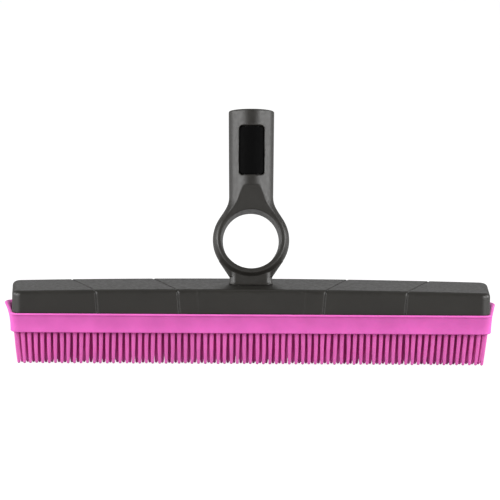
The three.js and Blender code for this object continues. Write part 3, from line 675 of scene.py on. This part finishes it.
def seat_ring(gap, height):
    plan = outline(COVER_SIZE[0] + 2 * gap, COVER_SIZE[0] + 2 * gap, -COVER_SIZE[1] / 2 - gap,
                   COVER_SIZE[1] / 2 + gap, COVER_CORNER + gap)
    return np.column_stack([plan, np.full(len(plan), height)])


def core_ring(length, depth, height):
    plan = outline(length, length, -depth / 2, depth / 2, CORE_CORNER)
    return np.column_stack([plan, np.full(len(plan), height)])


def sleeve_rings():
    """The loft's rings: under the floor, out to the base, up the flare, over the rim and down the pocket."""
    base = BRISTLE_LENGTH
    rings = [flared_ring(0, base, FLOOR_INSET), flared_ring(0, base, SLEEVE_BASE_INSET)]
    for i in range(1, BASE_STEPS + 1):
        turn = i / BASE_STEPS * math.pi / 2
        height = SLEEVE_BASE_ROUND * (1 - math.cos(turn))
        rings.append(flared_ring(0, base + height, SLEEVE_BASE_INSET * (1 - math.sin(turn))))
    wall_top = SLEEVE_HEIGHT - RIM_ROUND
    for i in range(1, WALL_STEPS + 1):
        height = SLEEVE_BASE_ROUND + (wall_top - SLEEVE_BASE_ROUND) * i / WALL_STEPS
        rings.append(flared_ring((height / SLEEVE_HEIGHT) ** SLEEVE_FLARE_POWER, base + height))
    for i in range(1, RIM_STEPS + 1):
        turn = i / RIM_STEPS * math.pi / 2
        share = 1 - math.cos(turn)
        height = base + wall_top + RIM_ROUND * math.sin(turn)
        rings.append(flared_ring(1.0, height, RIM_INSET * share, RIM_FRONT_INSET * share))
    inner_rim = base + SLEEVE_HEIGHT - RIM_INNER["drop"]
    rings.append(flared_ring(1.0, inner_rim, RIM_INNER["inset"], RIM_INNER["front_inset"]))
    rings.append(seat_ring(SEAT_LIP["gap"], base + SLEEVE_HEIGHT - SEAT_LIP["drop"]))
    rings.append(seat_ring(GAP, base + SEAT_HEIGHT))
    rings += [core_ring(length, depth, base + height) for length, depth, height in POCKET_RINGS]
    return rings


def loft(rings):
    count = len(rings[0])
    points = np.concatenate(rings)
    faces = []
    for r in range(len(rings) - 1):
        for i in range(count):
            j = (i + 1) % count
            faces.append((r * count + i, r * count + j, (r + 1) * count + j, (r + 1) * count + i))
    faces.append(tuple(range(count))[::-1])
    last = (len(rings) - 1) * count
    faces.append(tuple(range(last, last + count)))
    return points, faces


# ---- Bristles ----------------------------------------------------------------------------

ROWS = 9
ROW_PITCH = 3.7
BRISTLE_PITCH = 4.3
FRONT_COUNT = 73
BRISTLE_SIDES = 12
BRISTLE_ROOT = 1.42
BRISTLE_TIP = 1.0
BRISTLE_FOOT = ((0.45, 0.4), (0.4, 0.0), (0.12, -0.5), (0.0, -1.1))  # wider than the root, height
BRISTLE_STEPS = 7
TIP_STEPS = 4
BRISTLE_SEED = 7
TIP_DRIFT = 0.14
BELLY_DRIFT = 0.1
SHORTENING = 0.006
DRIFT_POWER = 1.3
LEAN_POWER = 1.15
END_LEANS = ((2.0, 14.0), (2.2, 55.0))  # at the left and the right end: how much, and how far in it reaches


def bristle_profile():
    """Radius and height pairs from the root, sunk in the floor, to the rounded tip."""
    profile = [(BRISTLE_ROOT + wider, height) for wider, height in BRISTLE_FOOT]
    foot = BRISTLE_FOOT[-1][1]
    straight = BRISTLE_LENGTH + foot - BRISTLE_TIP
    for i in range(1, BRISTLE_STEPS + 1):
        share = i / BRISTLE_STEPS
        profile.append((BRISTLE_ROOT + (BRISTLE_TIP - BRISTLE_ROOT) * share, foot - straight * share))
    for i in range(1, TIP_STEPS):
        turn = i / TIP_STEPS * math.pi / 2
        profile.append((BRISTLE_TIP * math.cos(turn), -BRISTLE_LENGTH + BRISTLE_TIP * (1 - math.sin(turn))))
    return np.array(profile)


def bristle_places():
    first = -(ROWS - 1) * ROW_PITCH / 2
    places = []
    for row in range(ROWS):
        count = FRONT_COUNT if row % 2 == 0 else FRONT_COUNT - 1
        for i in range(count):
            places.append(((i - (count - 1) / 2) * BRISTLE_PITCH, first + row * ROW_PITCH))
    return np.array(places)


def bristles(random):
    profile = bristle_profile()
    places = bristle_places()
    angles = 2 * math.pi * np.arange(BRISTLE_SIDES) / BRISTLE_SIDES
    down = -np.clip(profile[:, 1], -BRISTLE_LENGTH, 0) / BRISTLE_LENGTH
    edge = places[:, 0].max() - np.abs(places[:, 0])
    (left, left_reach), (right, right_reach) = END_LEANS
    inwards_left = left * np.exp(-edge / left_reach)
    inwards_right = -right * np.exp(-edge / right_reach)
    lean = np.where(places[:, 0] < 0, inwards_left, inwards_right)
    tip_drift = random.normal(0, TIP_DRIFT, (len(places), 2))
    belly = random.normal(0, BELLY_DRIFT, (len(places), 2))
    stretch = 1 - np.abs(random.normal(0, SHORTENING, len(places)))
    points = []
    faces = []
    count = len(profile) * BRISTLE_SIDES + 1
    for n, (x, y) in enumerate(places):
        drift = np.outer(down ** DRIFT_POWER, tip_drift[n]) + np.outer(np.sin(math.pi * down), belly[n])
        drift[:, 0] += lean[n] * down ** LEAN_POWER
        rings = np.empty((len(profile), BRISTLE_SIDES, 3))
        rings[:, :, 0] = x + drift[:, 0, None] + profile[:, 0, None] * np.cos(angles)
        rings[:, :, 1] = y + drift[:, 1, None] + profile[:, 0, None] * np.sin(angles)
        rings[:, :, 2] = BRISTLE_LENGTH + profile[:, 1, None] * stretch[n]
        tip = (x + drift[-1, 0], y + drift[-1, 1], BRISTLE_LENGTH * (1 - stretch[n]))
        points.append(np.concatenate([rings.reshape(-1, 3), [tip]]))
        start = n * count
        for r in range(len(profile) - 1):
            for i in range(BRISTLE_SIDES):
                a = start + r * BRISTLE_SIDES + i
                b = start + r * BRISTLE_SIDES + (i + 1) % BRISTLE_SIDES
                faces.append((a, a + BRISTLE_SIDES, b + BRISTLE_SIDES, b))
        ring = start + (len(profile) - 1) * BRISTLE_SIDES
        for i in range(BRISTLE_SIDES):
            faces.append((ring + i, start + count - 1, ring + (i + 1) % BRISTLE_SIDES))
        faces.append(tuple(start + i for i in range(BRISTLE_SIDES)))
    return np.concatenate(points), faces


def rubber_brush():
    sleeve_points, sleeve_faces = loft(sleeve_rings())
    finger_points, finger_faces = bristles(np.random.default_rng(BRISTLE_SEED))
    shift = len(sleeve_points)
    faces = sleeve_faces + [tuple(i + shift for i in face) for face in finger_faces]
    points = np.concatenate([sleeve_points, finger_points]) + (0, HEAD_Y, 0)
    piece = make_mesh("rubber_brush_moulding", points, faces, PINK_RUBBER)
    # The bristles take the darker copy of the rubber, a painted shade between them.
    piece.data.materials.append(BRISTLE_RUBBER_PAINTED_SHADE)
    piece.data.polygons.foreach_set("material_index", [0] * len(sleeve_faces) + [1] * len(finger_faces))
    stands_for(piece, "head", "pink_rubber", "rubber_brush")


# ---- Pieces carried over from the frame --------------------------------------------------


def finish_cad_nodes():
    for name, node in frame["nodes"].items():
        if "screw" in name or name == "button_spring":
            material = STEEL
        elif name == "core_plate":
            material = CORE_PLASTIC
        else:
            continue
        for slot in node.material_slots:
            slot.material = material


# ---- Studio ------------------------------------------------------------------------------

CAMERA_DISTANCE = 5.0
CAMERA_AZIMUTH = math.radians(-1.2)
CAMERA_ELEVATION = math.radians(9.6)
CAMERA_ROLL = math.radians(0.53)
CAMERA_TARGET = (-0.0008, -0.0112, 0.0742)
FRAME_WIDTH = 0.3301
SENSOR = 36.0
FAR_CLIP = 20.0
LIGHT_TARGET = (0.0, 0.0, 0.07)
WORLD_STRENGTH = 0.13
FLOOR_SIZE = 6000.0
FLOOR_HEIGHT = -0.2  # just under the bristles' tips
FLOOR_COLOUR = (0.22, 0.22, 0.22, 1)
FLOOR_TO_CAMERA = 0.92
FLOOR_IN_REFLECTIONS = 0.4
LIGHTS = (  # name, place, size, power
    ("front left", (-1.25, -0.95, 0.4), (0.9, 1.0), 22.0),
    ("front right", (1.25, -0.95, 0.4), (0.9, 1.0), 22.0),
    ("side left", (-1.1, 0.05, 0.28), (0.9, 0.5), 7.0),
    ("side right", (1.1, 0.05, 0.28), (0.9, 0.5), 7.0),
    ("above", (0, 0.2, 1.3), (1.4, 0.9), 2.0),
    ("behind", (0, 1.8, 0.9), (2.6, 0.8), 6.0),
)


def aim(thing, target):
    direction = Vector(target) - thing.location
    thing.rotation_euler = direction.to_track_quat("-Z", "Y").to_euler()


def camera():
    target = Vector(CAMERA_TARGET)
    level = math.cos(CAMERA_ELEVATION)
    back = Vector((
        math.sin(CAMERA_AZIMUTH) * level,
        -math.cos(CAMERA_AZIMUTH) * level,
        math.sin(CAMERA_ELEVATION),
    ))
    data = bpy.data.cameras.new("camera")
    data.sensor_width = SENSOR
    data.lens = SENSOR * CAMERA_DISTANCE / FRAME_WIDTH
    data.clip_end = FAR_CLIP
    made = bpy.data.objects.new("camera", data)
    bpy.context.scene.collection.objects.link(made)
    made.location = target + back * CAMERA_DISTANCE
    aim(made, target)
    made.rotation_euler.rotate_axis("Z", CAMERA_ROLL)
    bpy.context.scene.camera = made


def area_light(name, place, size, power):
    data = bpy.data.lights.new(name, "AREA")
    data.shape = "RECTANGLE"
    data.size, data.size_y = size
    data.energy = power
    made = bpy.data.objects.new(name, data)
    bpy.context.scene.collection.objects.link(made)
    made.location = place
    aim(made, LIGHT_TARGET)


def white_to_camera(tree, target, dim, bright=1.0, mirrored=0.0):
    """A background that is bright to the camera, dimmer as a light and between them in reflections."""
    path = tree.nodes.new("ShaderNodeLightPath")
    both = tree.nodes.new("ShaderNodeMath")
    both.operation = "MAXIMUM"
    tree.links.new(path.outputs["Is Camera Ray"], both.inputs[0])
    tree.links.new(path.outputs["Is Transmission Ray"], both.inputs[1])
    level = tree.nodes.new("ShaderNodeMapRange")
    level.inputs["To Min"].default_value = dim
    level.inputs["To Max"].default_value = bright
    tree.links.new(both.outputs[0], level.inputs["Value"])
    glossy = tree.nodes.new("ShaderNodeMath")
    glossy.operation = "MULTIPLY_ADD"
    glossy.inputs[1].default_value = mirrored
    tree.links.new(path.outputs["Is Glossy Ray"], glossy.inputs[0])
    tree.links.new(level.outputs["Result"], glossy.inputs[2])
    tree.links.new(glossy.outputs[0], target)


def world():
    made = bpy.data.worlds.new("studio")
    made.use_nodes = True
    background = made.node_tree.nodes["Background"]
    background.inputs["Color"].default_value = (1, 1, 1, 1)
    white_to_camera(made.node_tree, background.inputs["Strength"], WORLD_STRENGTH)
    bpy.context.scene.world = made


def floor():
    corners = ((-1, -1), (1, -1), (1, 1), (-1, 1))
    points = [(x * FLOOR_SIZE, y * FLOOR_SIZE, FLOOR_HEIGHT) for x, y in corners]
    wired = Nodes("floor")
    wired.shader.inputs["Base Color"].default_value = FLOOR_COLOUR
    wired.shader.inputs["Roughness"].default_value = 0.9
    wired.shader.inputs["Specular IOR Level"].default_value = 0.1
    wired.shader.inputs["Emission Color"].default_value = (1, 1, 1, 1)
    glow = wired.shader.inputs["Emission Strength"]
    white_to_camera(wired.tree, glow, 0.0, FLOOR_TO_CAMERA, FLOOR_IN_REFLECTIONS)
    made = make_mesh("floor", points, [(0, 1, 2, 3)], wired.material, smooth=False)


# ---- Build -------------------------------------------------------------------------------

head_cover()
neck()
release_button()
rubber_brush()
finish_cad_nodes()
camera()
world()
floor()
for light in LIGHTS:
    area_light(*light)

bpy.context.scene.view_settings.view_transform = "Standard"
